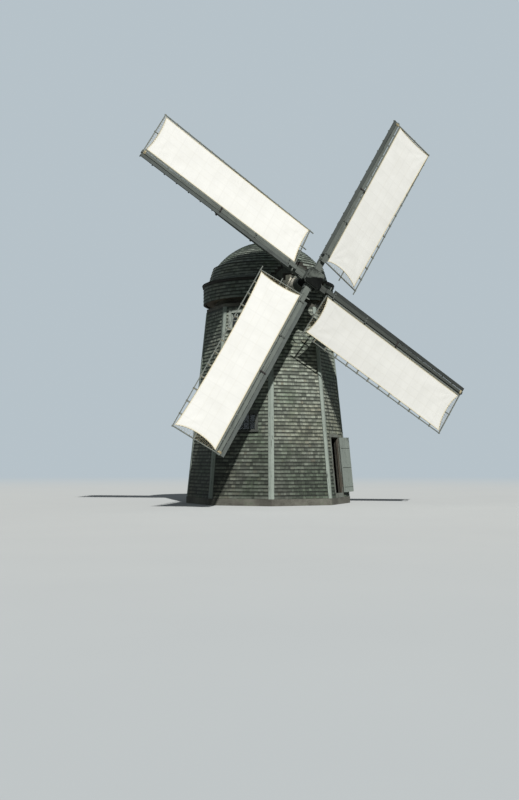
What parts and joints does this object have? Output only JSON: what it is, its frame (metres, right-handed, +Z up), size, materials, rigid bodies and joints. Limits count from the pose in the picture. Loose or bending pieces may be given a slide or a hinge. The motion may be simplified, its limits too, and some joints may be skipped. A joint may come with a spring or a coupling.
{
  "type": "traditional smock windmill",
  "caption": "Shingled octagonal smock windmill with a turning round-roofed cap, tilted windshaft, four lattice sails with cloths set, small windows and a plank door.",
  "frame": {"origin": "centre of the tower on the ground plane, on the underside of the floor sleeper", "axes": "+Z up along the tower axis, -Y out of the window face, +X out of the door face"},
  "size_m": [9.8449, 9.5761, 14.1929],
  "materials": {
    "wall_shingles": "weathered grey shingles",
    "corner_boards": "pale weathered paint",
    "sill_timber": "rough timber",
    "floor_wood": "sawn planks",
    "window_wood": "painted wood",
    "glass": "old window glass",
    "casing_wood": "painted wood",
    "door_wood": "weathered planks",
    "iron": "rusty dark iron",
    "cap_boards": "dark weathered boards",
    "roof_shingles": "weathered shingles",
    "shaft_wood": "weathered timber",
    "spar_wood": "weathered spar timber",
    "lattice_wood": "weathered laths",
    "sailcloth": "off-white sailcloth"
  },
  "bodies": {
    "tower": {"sill_ring": "sill_timber", "window_wall": "wall_shingles", "plain_walls_a": "wall_shingles", "plain_walls_b": "wall_shingles", "door_wall_left": "wall_shingles", "door_wall_right": "wall_shingles", "door_wall_over": "wall_shingles", "corner_boards": "corner_boards", "floor_joists": "floor_wood", "ground_floor": "floor_wood", "upper_floor": "floor_wood", "top_plate": "sill_timber", "curb": "sill_timber", "lower_window_frame": "window_wood", "upper_window_frame": "window_wood", "lower_window_glass": "glass", "upper_window_glass": "glass", "door_casing": "casing_wood", "door_pintles": "iron"},
    "cap": {"cap_ring": "sill_timber", "cap_skids": "sill_timber", "cap_floor": "floor_wood", "cap_frame": "floor_wood", "cap_skirt": "cap_boards", "cap_front_wall": "cap_boards", "cap_roof": "roof_shingles"},
    "sails": {"windshaft": "shaft_wood", "poll_end": "spar_wood", "poll_bands": "iron", "stock_a": "spar_wood", "stock_b": "spar_wood", "whips": "spar_wood", "whip_clamps": "iron", "leading_boards": "spar_wood", "sail_frame_1": "lattice_wood", "sail_frame_2": "lattice_wood", "sail_frame_3": "lattice_wood", "sail_frame_4": "lattice_wood", "sail_cloth_1": "sailcloth", "sail_cloth_2": "sailcloth", "sail_cloth_3": "sailcloth", "sail_cloth_4": "sailcloth"},
    "door": {"door_leaf": "door_wood", "door_straps": "iron"}
  },
  "joints": [
    {"name": "cap_turn", "type": "hinge", "parent": "tower", "child": "cap", "pos_m": [0, 0, 7.4], "axis": [0, 0, 1], "continuous": true},
    {"name": "sail_turn", "type": "hinge", "parent": "cap", "child": "sails", "pos_m": [2.42809, -2.26424, 7.911], "axis": [0.7291, -0.6799, 0.0785], "continuous": true},
    {"name": "door_swing", "type": "hinge", "parent": "tower", "child": "door", "pos_m": [2.73171, 0.36, 1.39817], "axis": [-0.0956, 0, 0.9954], "range_deg": [-173, 3]}
  ]
}
